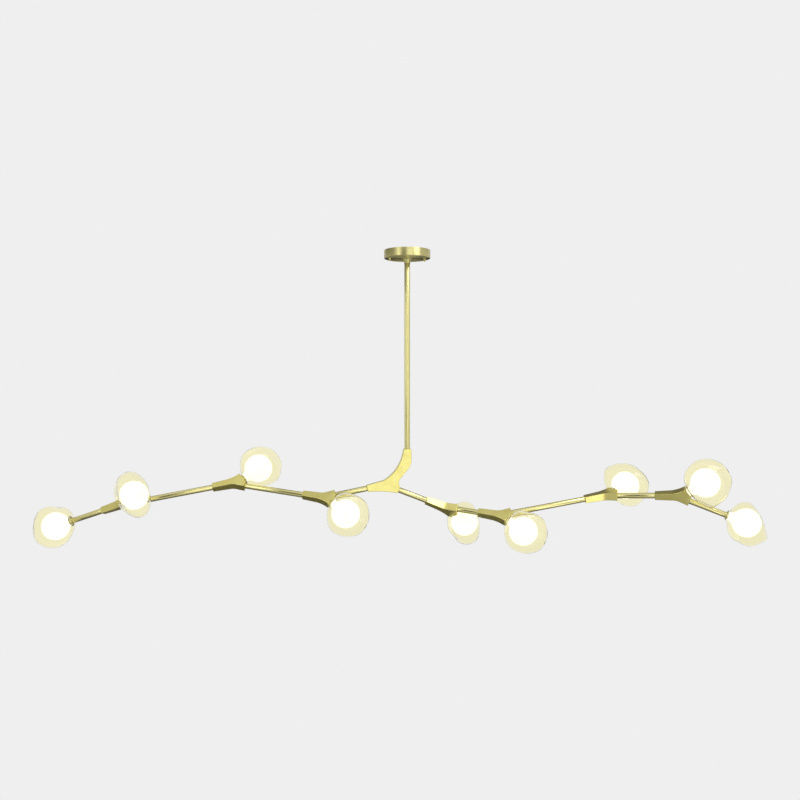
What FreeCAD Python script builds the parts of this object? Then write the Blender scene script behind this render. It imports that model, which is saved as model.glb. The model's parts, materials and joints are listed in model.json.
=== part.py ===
# Branch chandelier with nine lit glass globes, in millimetres.
#
# Origin: the middle of the ceiling screws, at the ceiling. +Z points up, and the lamp hangs to -Z.
# The flat centre casting lies in the XZ plane: four arms run to -X from it and five to +X.
# Every arm is a tube with a fork (or, on the last one, an end socket) that carries one globe.
import FreeCAD, Part
import math
import os

import Sketcher

os.makedirs("parts", exist_ok=True)
doc = FreeCAD.newDocument("branch_chandelier")
V = FreeCAD.Vector
UP = V(0, 0, 1)
AWAY = V(0, 1, 0)

# ---------------------------------------------------------------- driving dimensions
DIMENSIONS = [
    # ceiling end
    ("strap_width", 20), ("strap_thickness", 2.5), ("strap_half_length", 59), ("strap_drop", 9),
    ("joggle_start", 24), ("joggle_end", 28), ("ceiling_screw_spacing", 70),
    ("slot_length", 10), ("slot_width", 5), ("stud_spacing", 101), ("stud_radius", 2), ("stud_end", 29),
    ("nipple_radius", 5), ("nipple_bore_radius", 3.5), ("nipple_top", 4), ("nipple_end", 30),
    ("locknut_flats", 14), ("locknut_height", 4), ("end_nut_radius", 6.5), ("end_nut_height", 5),
    ("terminal_length", 14), ("terminal_width", 16), ("terminal_height", 9), ("terminal_offset", 12),
    ("earth_offset", 17), ("earth_screw_radius", 2), ("earth_head_radius", 4), ("earth_head_height", 2.6),
    # cover
    ("canopy_diameter", 132), ("canopy_height", 24), ("canopy_wall", 1.5), ("canopy_gap", 0.5),
    ("canopy_corner", 1), ("canopy_hole_radius", 10.3), ("canopy_screw_radius", 2.3),
    ("collar_top_radius", 13), ("collar_low_radius", 11.3), ("collar_tip_radius", 8.9),
    ("collar_straight", 9.5), ("collar_height", 13.5), ("collar_boss_height", 5), ("collar_bore_radius", 8.3),
    ("dome_nut_radius", 3.5), ("dome_nut_height", 7.5), ("dome_nut_bore_radius", 2.05),
    # tubes and their sockets
    ("tube_radius", 8), ("tube_bore_radius", 7), ("stem_top", 16), ("stem_socket_level", 569.5),
    ("coupling_floor", 6), ("coupling_length", 14), ("swivel_gap", 0.05),
    ("socket_radius", 8.05), ("socket_depth", 16), ("stem_socket_depth", 22), ("socket_end_gap", 0.3),
    ("passage_radius", 4), ("edge_radius", 1.2),
    # centre casting
    ("centre_thickness", 21), ("centre_stem_half_width", 11), ("centre_arm_half_width", 9.5),
    ("centre_left_x", -116), ("centre_left_z", -681), ("centre_left_dip", 11),
    ("centre_right_x", -25), ("centre_right_z", -686), ("centre_right_dip", 21.5),
    ("grub_radius", 2), ("grub_inset", 0.6),
    # fork casting
    ("fork_sleeve", 56), ("fork_rod_angle", 26), ("fork_rod_length", 40), ("fork_globe_angle", 33),
    ("fork_globe_x", 137), ("fork_globe_z", 41), ("fork_small_half", 9.25), ("fork_mid_half", 11.3),
    ("fork_rod_half", 10), ("fork_face_half", 16), ("fork_thickness", 24), ("fork_taper_length", 85),
    # globe: distances from the socket face along the neck
    ("globe_distance", 56), ("spigot_radius", 10), ("spigot_bore_radius", 8.8), ("spigot_length", 14),
    ("spigot_seat", 1.5), ("end_flange_radius", 12), ("end_flange_height", 6), ("end_flange_rim", 1.5),
    ("end_spigot_radius", 6.95), ("opal_radius", 39.5), ("opal_wall", 2), ("opal_neck_radius", 11.5),
    ("opal_neck_wall", 1.4), ("opal_neck_start", 2), ("glass_wall", 2.5), ("glass_neck_radius", 14.5),
    ("glass_neck_bore", 11.9), ("glass_lip_radius", 10.2), ("glass_length", 122.5),
    ("glass_half_width", 68), ("glass_half_depth", 47),
    ("holder_radius", 8.6), ("holder_length", 16.5), ("capsule_radius", 6.5), ("capsule_length", 37),
    # arms, counted outwards from the centre: visible tube length and roll of the fork about its tube
    ("left_1_tube", 91), ("left_1_roll", 225), ("left_2_tube", 173), ("left_2_roll", 47),
    ("left_3_tube", 224), ("left_3_roll", -70), ("left_4_tube", 109),
    ("right_1_tube", 86), ("right_1_roll", 120), ("right_2_tube", 60), ("right_2_roll", 229),
    ("right_3_tube", 217), ("right_3_roll", 74), ("right_4_tube", 103), ("right_4_roll", -27),
    ("right_5_tube", 108),
    # turn of each flattened outer glass about its own neck
    ("left_1_turn", 45), ("left_2_turn", 60), ("left_3_turn", 260), ("left_4_turn", 201),
    ("right_1_turn", 226), ("right_2_turn", 57), ("right_3_turn", 22), ("right_4_turn", 151),
    ("right_5_turn", 108),
]


class Size:
    """A length or an angle that remembers the sheet formula it comes from."""

    def __init__(self, value, formula):
        self.value = float(value)
        self.formula = formula

    def __add__(self, other):
        other = as_size(other)
        return Size(self.value + other.value, f"({self.formula} + {other.formula})")

    def __sub__(self, other):
        other = as_size(other)
        return Size(self.value - other.value, f"({self.formula} - {other.formula})")

    def __mul__(self, other):
        other = as_size(other)
        return Size(self.value * other.value, f"({self.formula} * {other.formula})")

    def __truediv__(self, other):
        other = as_size(other)
        return Size(self.value / other.value, f"({self.formula} / {other.formula})")

    def __neg__(self):
        return Size(-self.value, f"(0 - {self.formula})")

    def __rsub__(self, other):
        return as_size(other) - self

    __radd__ = __add__
    __rmul__ = __mul__


def as_size(number):
    """A plain number as a Size, or a Size as it is."""
    return number if isinstance(number, Size) else Size(number, repr(float(number)))


def sine(angle):
    return Size(math.sin(math.radians(angle.value)), f"sin({angle.formula})")


def cosine(angle):
    return Size(math.cos(math.radians(angle.value)), f"cos({angle.formula})")


def root(size):
    return Size(math.sqrt(size.value), f"sqrt({size.formula})")


class Sheet:
    """The spreadsheet of driving dimensions: dims.tube_radius is the Size in that cell."""

    def __init__(self, rows):
        self.cells = doc.addObject("Spreadsheet::Sheet", "dims")
        for row, (alias, number) in enumerate(rows, start=1):
            self.cells.set(f"A{row}", alias)
            self.cells.set(f"B{row}", str(number))
            self.cells.setAlias(f"B{row}", alias)
        doc.recompute()

    def __getattr__(self, alias):
        return Size(self.cells.get(alias), f"dims.{alias}")


dims = Sheet(DIMENSIONS)


def arm_size(arm, what):
    """The cell of one arm, such as left_2_tube."""
    return getattr(dims, f"{arm}_{what}")


# ---------------------------------------------------------------- modelling helpers
def bind(item, **sizes):
    """Ties properties of an object to the sheet."""
    for name, size in sizes.items():
        item.setExpression(name, as_size(size).formula)
    return item


def body(label):
    item = doc.addObject("PartDesign::Body", label)
    item.Label = label
    return item


def sketch_on(part, role):
    """An empty sketch on one of the body's own origin planes."""
    plane = [item for item in part.Origin.OriginFeatures if item.Role == role][0]
    sketch = part.newObject("Sketcher::SketchObject", f"{part.Name}_sketch")
    sketch.AttachmentSupport = [(plane, "")]
    sketch.MapMode = "FlatFace"
    return sketch


def arc_between(start, end, radius):
    """The short arc between two points. A positive radius bulges to the right of the way along it."""
    chord = end - start
    half = chord.Length / 2
    sagitta = abs(radius) - math.sqrt(radius ** 2 - half ** 2)
    right = V(chord.y, -chord.x, 0).normalize()
    middle = (start + end) / 2 + right * math.copysign(sagitta, radius)
    return Part.Arc(start, middle, end)


def outline(sketch, corners):
    """A closed outline with every corner bound to the sheet.

    A corner is (x, y), or (x, y, radius) where an arc of that signed radius leads to it.
    """
    points = [V(as_size(corner[0]).value, as_size(corner[1]).value, 0) for corner in corners]
    first = sketch.GeometryCount
    ends = []
    for index, corner in enumerate(corners):
        start, end = points[index - 1], points[index]
        if len(corner) == 3:
            edge = arc_between(start, end, as_size(corner[2]).value)
            sketch.addGeometry(edge)
            starts_first = sketch.getPoint(first + index, 1).distanceToPoint(start) < 1e-6
            ends.append((1, 2) if starts_first else (2, 1))
        else:
            sketch.addGeometry(Part.LineSegment(start, end))
            ends.append((1, 2))
    for index, corner in enumerate(corners):
        edge = first + index
        following = first + (index + 1) % len(corners)
        tail = ends[index][1]
        head = ends[(index + 1) % len(corners)][0]
        sketch.addConstraint(Sketcher.Constraint("Coincident", edge, tail, following, head))
        for kind, axis, coordinate in (("DistanceX", -2, corner[0]), ("DistanceY", -1, corner[1])):
            coordinate = as_size(coordinate)
            if coordinate.value == 0:
                sketch.addConstraint(Sketcher.Constraint("PointOnObject", edge, tail, axis))
            else:
                number = sketch.addConstraint(Sketcher.Constraint(kind, edge, tail, coordinate.value))
                sketch.setExpression(f"Constraints[{number}]", coordinate.formula)
        if len(corner) == 3:
            radius = as_size(corner[2])
            size = Size(abs(radius.value), radius.formula if radius.value > 0 else (-radius).formula)
            number = sketch.addConstraint(Sketcher.Constraint("Radius", edge, size.value))
            sketch.setExpression(f"Constraints[{number}]", size.formula)
    return sketch


def circle(sketch, x, y, radius):
    """A circle with its centre and radius bound to the sheet."""
    x, y, radius = as_size(x), as_size(y), as_size(radius)
    edge = sketch.addGeometry(Part.Circle(V(x.value, y.value, 0), V(0, 0, 1), radius.value))
    for kind, axis, coordinate in (("DistanceX", -2, x), ("DistanceY", -1, y)):
        if coordinate.value == 0:
            sketch.addConstraint(Sketcher.Constraint("PointOnObject", edge, 3, axis))
        else:
            number = sketch.addConstraint(Sketcher.Constraint(kind, edge, 3, coordinate.value))
            sketch.setExpression(f"Constraints[{number}]", coordinate.formula)
    number = sketch.addConstraint(Sketcher.Constraint("Radius", edge, radius.value))
    sketch.setExpression(f"Constraints[{number}]", radius.formula)
    return sketch


def pad(part, sketch, length, midplane=False):
    feature = part.newObject("PartDesign::Pad", f"{part.Name}_pad")
    feature.Profile = sketch
    feature.Midplane = midplane
    return bind(feature, Length=length)


def pocket_through(part, sketch):
    """Cuts the sketch right through the body, both ways."""
    feature = part.newObject("PartDesign::Pocket", f"{part.Name}_pocket")
    feature.Profile = sketch
    feature.Type = "ThroughAll"
    feature.Midplane = True
    return feature


def turned(label, corners):
    """A body turned about its own Z axis from a closed outline of (radius, height) corners."""
    part = body(label)
    sketch = outline(sketch_on(part, "XZ_Plane"), corners)
    feature = part.newObject("PartDesign::Revolution", f"{part.Name}_turn")
    feature.Profile = sketch
    feature.ReferenceAxis = (sketch, ["V_Axis"])
    feature.Angle = 360
    return part


def ring(label, outer, inner, low, high):
    """A straight sleeve between two heights."""
    return turned(label, [(inner, low), (outer, low), (outer, high), (inner, high)])


def cylinder_between(label, start, end, radius):
    """A round bar or a round hole's tool from one point to another."""
    bar = bind(doc.addObject("Part::Cylinder", label), Radius=radius)
    bar.Height = (end - start).Length
    bar.Placement = FreeCAD.Placement(start, FreeCAD.Rotation(UP, end - start))
    return bar


def fused(label, shapes):
    item = doc.addObject("Part::MultiFuse", label)
    item.Shapes = shapes
    return item


def cut(label, base, tool):
    item = doc.addObject("Part::Cut", label)
    item.Base = base
    item.Tool = tool
    return item


def group(label, members):
    """Several loose solids that are kept as one sub-part."""
    item = doc.addObject("Part::Compound", label)
    item.Links = members
    return item


def copy_of(master, label, placement):
    """A further piece of the same pattern, in its own place."""
    item = doc.addObject("App::Link", label)
    item.LinkedObject = master
    item.Placement = placement
    return item


def placed(x_axis, z_axis, origin):
    """The placement that turns X and Z to the given directions and moves to the origin."""
    rotation = FreeCAD.Rotation(x_axis, V(0, 0, 0), z_axis, "ZXY")
    return FreeCAD.Placement(origin, rotation)


def at_height(z, x=0.0, y=0.0, turn=0.0):
    return FreeCAD.Placement(V(x, y, z), FreeCAD.Rotation(V(0, 0, 1), turn))


nodes = []


def keep(item, label):
    """Names a finished sub-part."""
    item.Label = label
    nodes.append(item)
    return item


# ---------------------------------------------------------------- ceiling end
def ceiling_strap():
    """Joggled steel strap: outer flats on the ceiling, the middle lowered for the nipple's nut."""
    part = body("strap")
    half, step_in, step_out = dims.strap_half_length, dims.joggle_start, dims.joggle_end
    thick, low = dims.strap_thickness, dims.strap_drop
    profile = [
        (-half, 0), (-half, -thick), (-step_out, -thick), (-step_in, -(low + thick)),
        (step_in, -(low + thick)), (step_out, -thick), (half, -thick), (half, 0),
        (step_out, 0), (step_in, -low), (-step_in, -low), (-step_out, 0),
    ]
    pad(part, outline(sketch_on(part, "XZ_Plane"), profile), dims.strap_width, midplane=True)
    holes = sketch_on(part, "XY_Plane")
    reach = (dims.slot_length - dims.slot_width) / 2
    for side in (-1, 1):
        middle = side * dims.ceiling_screw_spacing / 2
        end = dims.slot_width / 2
        outline(holes, [
            (middle + reach, -end), (middle + reach, end, end * 1.0001),
            (middle - reach, end), (middle - reach, -end, end * 1.0001),
        ])
    circle(holes, 0, 0, dims.nipple_radius + 0.1)
    circle(holes, -dims.earth_offset, 0, dims.earth_screw_radius + 0.1)
    pocket_through(part, holes)
    return part


def hex_nut(label, flats, height, bore_radius):
    """A plain hexagon nut standing on its own origin."""
    part = body(label)
    sketch = sketch_on(part, "XY_Plane")
    corner = flats / 2 / cosine(Size(30, "30"))
    turns = [Size(60 * step, str(60 * step)) for step in range(6)]
    outline(sketch, [(corner * cosine(turn), corner * sine(turn)) for turn in turns])
    circle(sketch, 0, 0, bore_radius)
    pad(part, sketch, height)
    return part


def terminal_block():
    """Moulded block with three wire ways, screwed under the strap beside the nipple."""
    part = body("terminal")
    sketch = sketch_on(part, "XZ_Plane")
    low = -(dims.strap_drop + dims.strap_thickness + dims.terminal_height)
    high = -(dims.strap_drop + dims.strap_thickness)
    left, right = dims.terminal_offset, dims.terminal_offset + dims.terminal_length
    outline(sketch, [(left, low), (right, low), (right, high), (left, high)])
    pad(part, sketch, dims.terminal_width, midplane=True)
    ways = sketch_on(part, "YZ_Plane")
    way_radius = dims.terminal_height / 5
    for step in (-1, 0, 1):
        circle(ways, step * dims.terminal_width * 0.3, (low + high) / 2, way_radius)
    pocket_through(part, ways)
    return part


def build_ceiling():
    underside = dims.strap_drop.value + dims.strap_thickness.value
    keep(ceiling_strap(), "ceiling_strap")
    studs = []
    for side in (-1, 1):
        x = side * dims.stud_spacing.value / 2
        top, end = V(x, 0, -dims.strap_thickness.value), V(x, 0, -dims.stud_end.value)
        studs.append(cylinder_between("stud", top, end, dims.stud_radius))
    keep(group("studs", studs), "strap_studs")
    nipple = ring("nipple", dims.nipple_radius, dims.nipple_bore_radius, -dims.nipple_end, -dims.nipple_top)
    keep(nipple, "hollow_nipple")
    nut = hex_nut("locknut", dims.locknut_flats, dims.locknut_height, dims.nipple_radius)
    upper = copy_of(nut, "upper_nut", at_height(-dims.strap_drop.value))
    lower = copy_of(nut, "lower_nut", at_height(-underside - dims.locknut_height.value))
    keep(group("nuts", [upper, lower]), "nipple_locknuts")
    coupling_low = dims.stem_top + dims.coupling_floor
    end_top = -(coupling_low + dims.socket_end_gap)
    end_nut = ring("end_nut", dims.end_nut_radius, dims.nipple_radius, end_top - dims.end_nut_height, end_top)
    keep(end_nut, "nipple_end_nut")
    keep(terminal_block(), "terminal_block")
    head, shank = dims.earth_head_radius, dims.earth_screw_radius
    low, tip = -(dims.earth_head_height), dims.strap_thickness + 1
    screw = turned("earth", [
        (0, low), (head * 0.7, low), (head, low * 0.6), (head, 0), (shank, 0), (shank, tip), (0, tip),
    ])
    screw.Placement = at_height(-underside, x=-dims.earth_offset.value)
    keep(screw, "earth_screw")


# ---------------------------------------------------------------- cover
def canopy_cover():
    """Round spun cover, open to the ceiling, with a hole for the stem and two for its screws."""
    radius, wall, corner = dims.canopy_diameter / 2, dims.canopy_wall, dims.canopy_corner
    rim, floor = -dims.canopy_gap, -dims.canopy_height
    part = turned("canopy", [
        (dims.canopy_hole_radius, floor), (radius - corner, floor), (radius, floor + corner, corner),
        (radius, rim), (radius - wall, rim), (radius - wall, floor + wall),
        (dims.canopy_hole_radius, floor + wall),
    ])
    holes = sketch_on(part, "XY_Plane")
    for side in (-1, 1):
        circle(holes, side * dims.stud_spacing / 2, 0, dims.canopy_screw_radius)
    pocket_through(part, holes)
    return part


def canopy_collar():
    """Turned collar under the cover: a slow taper, then a rounded lip that closes on the stem."""
    top = -dims.canopy_height
    lip = top - dims.collar_straight
    tip = top - dims.collar_height
    boss = top + dims.collar_boss_height
    return turned("collar", [
        (dims.collar_bore_radius, tip), (dims.collar_tip_radius, tip),
        (dims.collar_low_radius, lip, dims.collar_straight / 2),
        (dims.collar_top_radius, top), (dims.canopy_hole_radius, top),
        (dims.canopy_hole_radius, boss), (dims.collar_bore_radius, boss),
    ])


def dome_nut():
    """Small blind nut with a domed end, hanging from its seat at its own origin."""
    radius, height, bore = dims.dome_nut_radius, dims.dome_nut_height, dims.dome_nut_bore_radius
    depth = dims.stud_end - dims.canopy_height + 0.3
    shoulder = height - radius * 0.8
    return turned("dome_nut", [
        (bore, 0), (bore, -depth), (0, -depth), (0, -height), (radius, -shoulder, radius * 1.1), (radius, 0),
    ])


def build_canopy():
    keep(canopy_cover(), "canopy_cover")
    keep(canopy_collar(), "canopy_collar")
    nut = dome_nut()
    reach, floor = dims.stud_spacing.value / 2, -dims.canopy_height.value
    pair = [copy_of(nut, "dome_nut_copy", at_height(floor, x=side * reach)) for side in (-1, 1)]
    keep(group("dome_nuts", pair), "canopy_dome_nuts")


# ---------------------------------------------------------------- stem and centre casting
def flat_direction(dip, side):
    """A direction in the XZ plane that leaves to one side and falls by the dip angle."""
    angle = math.radians(dip.value)
    return V(side * math.cos(angle), 0, -math.sin(angle))


def centre_blank():
    """The flat casting: stem arm on top, a long arm to the left, a short one to the right."""
    part = body("centre_blank")
    half, stem = dims.centre_arm_half_width, dims.centre_stem_half_width
    top = -dims.stem_socket_level
    left_x, left_z = dims.centre_left_x, dims.centre_left_z
    right_x, right_z = dims.centre_right_x, dims.centre_right_z
    left_sin, left_cos = sine(dims.centre_left_dip), cosine(dims.centre_left_dip)
    right_sin, right_cos = sine(dims.centre_right_dip), cosine(dims.centre_right_dip)
    corners = [
        (-stem, top),
        (-68, top - 89, -118),
        (left_x - half * left_sin, left_z + half * left_cos),
        (left_x + half * left_sin, left_z - half * left_cos),
        (right_x - half * right_sin, right_z - half * right_cos, -330),
        (right_x + half * right_sin, right_z + half * right_cos),
        (-21, top - 85, -18),
        (5, top - 54),
        (stem, top - 38),
        (stem, top),
    ]
    pad(part, outline(sketch_on(part, "XZ_Plane"), corners), dims.centre_thickness, midplane=True)
    return part


def long_edges(shape):
    """Edges of the front and back faces: the ones that don't run through the thickness."""
    names = []
    for number, edge in enumerate(shape.Edges, start=1):
        run = edge.Vertexes[-1].Point - edge.Vertexes[0].Point
        if abs(run.y) < 0.5 * run.Length:
            names.append(f"Edge{number}")
    return names


def soften(part, feature):
    """Rounds the front and back edges of a casting."""
    doc.recompute()
    fillet = part.newObject("PartDesign::Fillet", f"{part.Name}_fillet")
    fillet.Base = (feature, long_edges(feature.Shape))
    return bind(fillet, Radius=dims.edge_radius)


def centre_casting():
    """The blank with three tube sockets, joined inside by passages for the leads."""
    blank = centre_blank()
    soften(blank, blank.Tip)
    top = V(0, 0, -dims.stem_socket_level.value)
    left = V(dims.centre_left_x.value, 0, dims.centre_left_z.value)
    right = V(dims.centre_right_x.value, 0, dims.centre_right_z.value)
    left_out, right_out = flat_direction(dims.centre_left_dip, -1), flat_direction(dims.centre_right_dip, 1)
    left_slope, right_slope = left_out.z / left_out.x, right_out.z / right_out.x
    meeting_x = (right.z - left.z + left_slope * left.x - right_slope * right.x) / (left_slope - right_slope)
    meeting = V(meeting_x, 0, left.z + left_slope * (meeting_x - left.x))
    turn = top - UP * (2 * dims.stem_socket_depth.value - 2)
    depth, stem_depth = dims.socket_depth.value, dims.stem_socket_depth.value
    tools = [
        cylinder_between("socket", top + UP, top - UP * stem_depth, dims.socket_radius),
        cylinder_between("socket", left + left_out, left - left_out * depth, dims.socket_radius),
        cylinder_between("socket", right + right_out, right - right_out * depth, dims.socket_radius),
        cylinder_between("passage", top, turn, dims.passage_radius),
        cylinder_between("passage", turn, meeting, dims.passage_radius),
        cylinder_between("passage", meeting, left, dims.passage_radius),
        cylinder_between("passage", meeting, right, dims.passage_radius),
    ]
    grub_level = top.z - stem_depth / 2
    back = dims.centre_thickness.value
    for place in centre_grub_places(grub_level):
        tools.append(cylinder_between("tapping", place, place + AWAY * back, dims.grub_radius))
    return cut("centre", blank, fused("centre_tools", tools))


def centre_grub_places(level):
    """Where the three grub screws stand on the tube axes."""
    left = V(dims.centre_left_x.value, 0, dims.centre_left_z.value)
    right = V(dims.centre_right_x.value, 0, dims.centre_right_z.value)
    inset = dims.socket_depth.value / 2
    return [
        V(0, 0, level),
        left - flat_direction(dims.centre_left_dip, -1) * inset,
        right - flat_direction(dims.centre_right_dip, 1) * inset,
    ]


def build_stem():
    stem_low = dims.stem_socket_level + dims.stem_socket_depth
    tube = ring("stem", dims.tube_radius, dims.tube_bore_radius, -stem_low, -dims.stem_top)
    floor = -(dims.stem_top + dims.coupling_floor)
    hole = dims.nipple_radius + dims.swivel_gap
    wide, low = dims.end_nut_radius + 0.1, -(dims.stem_top + dims.coupling_length)
    coupling = turned("coupling", [
        (hole, floor), (wide, floor), (wide, low), (dims.tube_bore_radius, low),
        (dims.tube_bore_radius, -dims.stem_top), (hole, -dims.stem_top),
    ])
    keep(coupling, "stem_coupling")
    keep(tube, "stem_tube")
    keep(centre_casting(), "centre_casting")
    level = -(dims.stem_socket_level + dims.stem_socket_depth / 2).value
    start = dims.tube_radius.value
    end = dims.centre_thickness.value / 2 - dims.grub_inset.value
    grubs = []
    for place in centre_grub_places(level):
        slack = 0 if place.x == 0 else dims.socket_end_gap.value
        grubs.append(cylinder_between("grub", place + AWAY * (start + slack), place + AWAY * end, dims.grub_radius))
    keep(group("grubs", grubs), "centre_grub_screws")


# ---------------------------------------------------------------- fork casting
# Its own frame: X along the sleeve from the small end, Z towards the globe, Y through the plate.
def fork_points():
    """Rod end, globe face and the crossing of the globe's axis with the sleeve's axis."""
    rod_sin, rod_cos = sine(dims.fork_rod_angle), cosine(dims.fork_rod_angle)
    globe_sin, globe_cos = sine(dims.fork_globe_angle), cosine(dims.fork_globe_angle)
    rod = (dims.fork_sleeve + dims.fork_rod_length * rod_cos, -dims.fork_rod_length * rod_sin)
    face = (dims.fork_globe_x - dims.globe_distance * globe_cos,
            dims.fork_globe_z - dims.globe_distance * globe_sin)
    crossing = dims.fork_globe_x - dims.fork_globe_z * globe_cos / globe_sin
    return rod, face, crossing


def fork_blank():
    """The Y plate: a sleeve that swells, bends away to the rod and flares to the globe's face."""
    part = body("fork_blank")
    rod_sin, rod_cos = sine(dims.fork_rod_angle), cosine(dims.fork_rod_angle)
    globe_sin, globe_cos = sine(dims.fork_globe_angle), cosine(dims.fork_globe_angle)
    (rod_x, rod_z), (face_x, face_z), _ = fork_points()
    small, middle, end, face = dims.fork_small_half, dims.fork_mid_half, dims.fork_rod_half, dims.fork_face_half
    corners = [
        (0, -small), (dims.fork_sleeve - 10, -(middle - 1)),
        (dims.fork_sleeve + 10, -(middle + 3.4), -40),
        (rod_x - end * rod_sin, rod_z - end * rod_cos),
        (rod_x + end * rod_sin, rod_z + end * rod_cos),
        (rod_x - 1, face_z - 14),
        (face_x + face * globe_sin, face_z - face * globe_cos),
        (face_x - face * globe_sin, face_z + face * globe_cos),
        (dims.fork_sleeve - 12, middle, -95),
        (0, small),
    ]
    blank = pad(part, outline(sketch_on(part, "XZ_Plane"), corners), dims.fork_thickness, midplane=True)
    sides = sketch_on(part, "XY_Plane")
    thick = dims.fork_thickness / 2
    slope = (thick - small) / dims.fork_taper_length
    start = -5
    for side in (-1, 1):
        outline(sides, [
            (start, side * (small + slope * start)), (dims.fork_taper_length, side * thick),
            (dims.fork_taper_length, side * (thick + 3)), (start, side * (thick + 3)),
        ])
    taper = pocket_through(part, sides)
    soften(part, taper)
    doc.recompute()
    assert part.Shape.Volume < blank.Shape.Volume, "the tapering cut misses the plate"
    return part


def fork_casting():
    """The Y plate with its spigot, two tube sockets, lamp seat and passages for the leads."""
    (rod_x, rod_z), (face_x, face_z), crossing = fork_points()
    rod, face = V(rod_x.value, 0, rod_z.value), V(face_x.value, 0, face_z.value)
    bend, cross = V(dims.fork_sleeve.value, 0, 0), V(crossing.value, 0, 0)
    along = V(1, 0, 0)
    rod_out, globe_out = (rod - bend).normalize(), (face - cross).normalize()
    depth = dims.socket_depth.value
    spigot = cylinder_between("spigot", face - globe_out, face + globe_out * dims.spigot_length.value,
                              dims.spigot_radius)
    seat = face - globe_out * dims.spigot_seat.value
    tools = [
        cylinder_between("socket", -along, along * depth, dims.socket_radius),
        cylinder_between("socket", rod + rod_out, rod - rod_out * depth, dims.socket_radius),
        cylinder_between("seat", seat, face + globe_out * (dims.spigot_length.value + 1), dims.spigot_bore_radius),
        cylinder_between("passage", V(0, 0, 0), cross, dims.passage_radius),
        cylinder_between("passage", bend, rod, dims.passage_radius),
        cylinder_between("passage", cross, face, dims.passage_radius),
    ]
    return cut("fork", fused("fork_body", [fork_blank(), spigot]), fused("fork_tools", tools))


def end_socket():
    """Trumpet at the tip of an arm: a spigot inside the tube, a flared face and the lamp's spigot."""
    flange, rim, sleeve = dims.end_flange_radius, dims.end_flange_rim, -dims.end_flange_height
    tail = sleeve - dims.socket_depth
    seat, lip = -dims.spigot_seat, dims.spigot_length
    return turned("end_socket", [
        (dims.passage_radius, tail), (dims.end_spigot_radius, tail), (dims.end_spigot_radius, sleeve),
        (dims.tube_radius, sleeve), (flange, -rim, -(flange - dims.tube_radius) * 1.4), (flange, 0),
        (dims.spigot_radius, 0), (dims.spigot_radius, lip), (dims.spigot_bore_radius, lip),
        (dims.spigot_bore_radius, seat), (dims.passage_radius, seat),
    ])


# ---------------------------------------------------------------- globe: Z runs out along the neck
def opal_globe():
    """Blown opal sphere with a straight neck that stands over the spigot."""
    outer, inner = dims.opal_radius, dims.opal_radius - dims.opal_wall
    neck, bore = dims.opal_neck_radius, dims.opal_neck_radius - dims.opal_neck_wall
    centre, low = dims.globe_distance, dims.opal_neck_start
    outer_join = centre - root(outer * outer - neck * neck)
    inner_join = centre - root(inner * inner - bore * bore)
    return turned("opal_master", [
        (bore, low), (neck, low), (neck, outer_join), (outer, centre, outer), (0, centre + outer, outer),
        (0, centre + inner), (inner, centre, -inner), (bore, inner_join, -inner),
    ])


# The blown envelope is a flattened, lopsided drop that ends in a blunt wedge to one side. Each row is one
# cross section: its share of the length, of the half width and of the half depth, its turn in degrees and
# its sideways shift in mm. The tip stands over the last one.
GLASS_SECTIONS = [
    (0.085, 0.47, 0.51, 24, 1.5, 1.0), (0.15, 0.71, 0.76, 28, 4.0, 2.0), (0.26, 0.92, 0.91, 27, 6.0, 0.5),
    (0.40, 1.00, 0.98, 25, 4.0, -1.0), (0.54, 0.98, 1.00, 18, 0.5, 4.5), (0.70, 0.86, 0.90, 6, -1.0, 11.5),
    (0.83, 0.68, 0.58, 1, -1.0, 14.0), (0.925, 0.48, 0.29, 1, -1.0, 16.5), (0.975, 0.28, 0.15, 1, -1.0, 18.0),
]


def glass_skin(label, inset, neck_radius, neck_low):
    """One skin of the envelope, a given distance inside the outer one."""
    sections = []
    for level in (neck_low, as_size(5)):
        mouth = bind(doc.addObject("Part::Ellipse", "neck"), MajorRadius=neck_radius, MinorRadius=neck_radius)
        mouth.Placement = at_height(level.value, turn=GLASS_SECTIONS[0][3])
        sections.append(mouth)
    for share, width, depth, turn, shift_x, shift_y in GLASS_SECTIONS:
        belly = bind(doc.addObject("Part::Ellipse", "belly"),
                     MajorRadius=dims.glass_half_width * width - inset,
                     MinorRadius=dims.glass_half_depth * depth - inset)
        belly.Placement = at_height(dims.glass_length.value * share, shift_x, shift_y, turn)
        sections.append(belly)
    *_, tip_x, tip_y = GLASS_SECTIONS[-1]
    tip = bind(doc.addObject("Part::Vertex", "tip"), X=as_size(tip_x), Y=as_size(tip_y),
               Z=dims.glass_length - inset)
    skin = doc.addObject("Part::Loft", label)
    skin.Sections = sections + [tip]
    skin.Solid = True
    return skin


def outer_glass():
    """Clear envelope with a lip at its mouth that the opal globe's neck holds down."""
    outer = glass_skin("glass_outer", as_size(0), dims.glass_neck_radius, as_size(0))
    inner = glass_skin("glass_inner", dims.glass_wall, dims.glass_neck_bore, dims.opal_neck_start)
    mouth = cylinder_between("mouth", V(0, 0, -1), V(0, 0, dims.opal_neck_start.value + 0.5), dims.glass_lip_radius)
    return cut("glass_master", outer, fused("glass_hollow", [inner, mouth]))


def lamp_set():
    """Ceramic push-in lampholder with its capsule lamp."""
    low = -dims.spigot_seat
    high = low + dims.holder_length
    radius = dims.capsule_radius
    tip = high + dims.capsule_length
    holder = turned("holder", [
        (0, low), (dims.holder_radius, low), (dims.holder_radius, high - 1), (dims.holder_radius - 1, high),
        (0, high),
    ])
    capsule = turned("capsule", [(0, high), (radius, high), (radius, tip - radius), (0, tip, radius)])
    return group("lamp_master", [holder, capsule])


# ---------------------------------------------------------------- arms
def across(direction):
    """Upward and away directions square to a rod that runs to +X."""
    rise = (UP - direction * direction.z).normalize()
    return rise, rise.cross(direction)


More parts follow.
